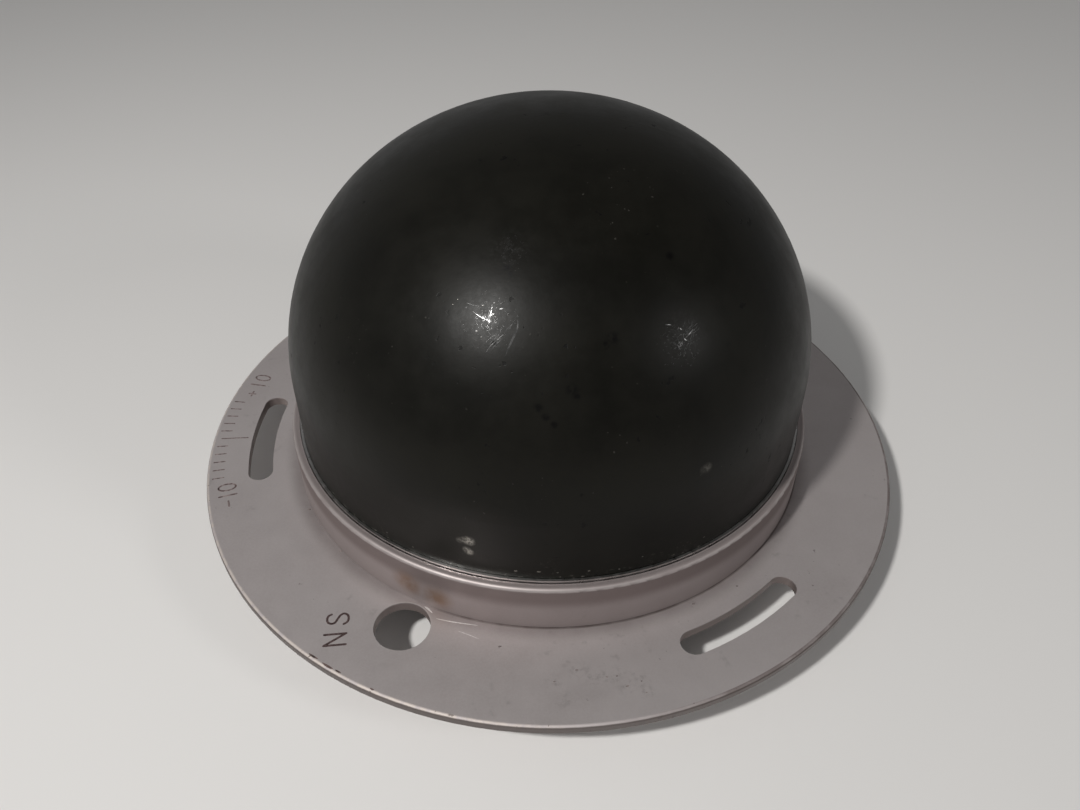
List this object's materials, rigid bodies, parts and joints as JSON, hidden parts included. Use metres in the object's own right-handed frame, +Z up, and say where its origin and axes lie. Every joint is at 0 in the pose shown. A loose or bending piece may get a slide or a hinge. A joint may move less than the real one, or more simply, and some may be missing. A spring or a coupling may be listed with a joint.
{
  "type": "remote compass transmitter",
  "caption": "Remote transmitter of an aircraft compass: a pendulous induction element in a sealed domed bowl, clamped into a round flange with graduated arc slots.",
  "frame": {"origin": "on the surface that the terminal cover stands on, on the axis of the bowl", "axes": "+Z up through the bowl, as in the picture; the slot with the zero mark lies on -X; X is the axis of the fixed fork's pins and Y that of the pendulum yoke's pins"},
  "size_m": [0.127, 0.127, 0.0717],
  "materials": {
    "flange_metal": "matte grey anodised aluminium, scuffed",
    "bowl_paint": "satin black paint, lightly scratched",
    "ring_metal": "bright turned edge",
    "seal_rubber": "matte black rubber",
    "header_metal": "turned aluminium",
    "screw_steel": "plated non-magnetic screws",
    "brass": "machined brass",
    "terminal_brass": "plated brass",
    "seal_glass": "fused glass bead",
    "phenolic": "brown phenolic laminate",
    "fibre": "red vulcanised fibre",
    "cover_metal": "matte grey anodised aluminium",
    "pin_steel": "polished pivot pin",
    "core_metal": "annealed nickel-iron laminations",
    "bobbin_plastic": "natural moulded bobbin",
    "coil_wire": "enamelled copper winding"
  },
  "bodies": {
    "housing": {"mounting_flange": "flange_metal", "bowl": "bowl_paint", "clamp_ring": "ring_metal", "bowl_gasket": "seal_rubber", "header_plate": "header_metal", "header_screws": "screw_steel", "suspension_post": "brass", "post_screws": "screw_steel", "terminal_pins": "terminal_brass", "terminal_seals": "seal_glass", "terminal_insulator": "phenolic", "terminal_washers": "screw_steel", "terminal_nuts": "terminal_brass", "filler_plug": "brass", "filler_washer": "fibre", "cover_pillars": "header_metal", "cover_gasket": "seal_rubber", "terminal_cover": "cover_metal", "cover_screws": "screw_steel", "cable_grommet": "seal_rubber"},
    "cross": {"gimbal_cross": "brass", "roll_pins": "pin_steel", "pitch_pins": "pin_steel"},
    "pendulum": {"pendulum_yoke": "brass", "lower_core": "core_metal", "upper_core": "core_metal", "core_post": "core_metal", "exciter_bobbin": "bobbin_plastic", "exciter_coil": "coil_wire", "pickup_bobbin_1": "bobbin_plastic", "pickup_bobbin_2": "bobbin_plastic", "pickup_bobbin_3": "bobbin_plastic", "pickup_coil_1": "coil_wire", "pickup_coil_2": "coil_wire", "pickup_coil_3": "coil_wire", "flux_horn_1": "core_metal", "flux_horn_2": "core_metal", "flux_horn_3": "core_metal", "horn_screws": "brass", "horn_nuts": "brass", "pendulum_weight": "brass", "centre_stud": "brass", "stud_washer": "brass", "stud_nut": "brass"}
  },
  "joints": [
    {"name": "roll", "type": "hinge", "parent": "housing", "child": "cross", "pos_m": [0, 0, 0.027], "axis": [1, 0, 0], "range_deg": [-25, 25]},
    {"name": "pitch", "type": "hinge", "parent": "cross", "child": "pendulum", "pos_m": [0, 0, 0.027], "axis": [0, 1, 0], "range_deg": [-25, 25]}
  ]
}
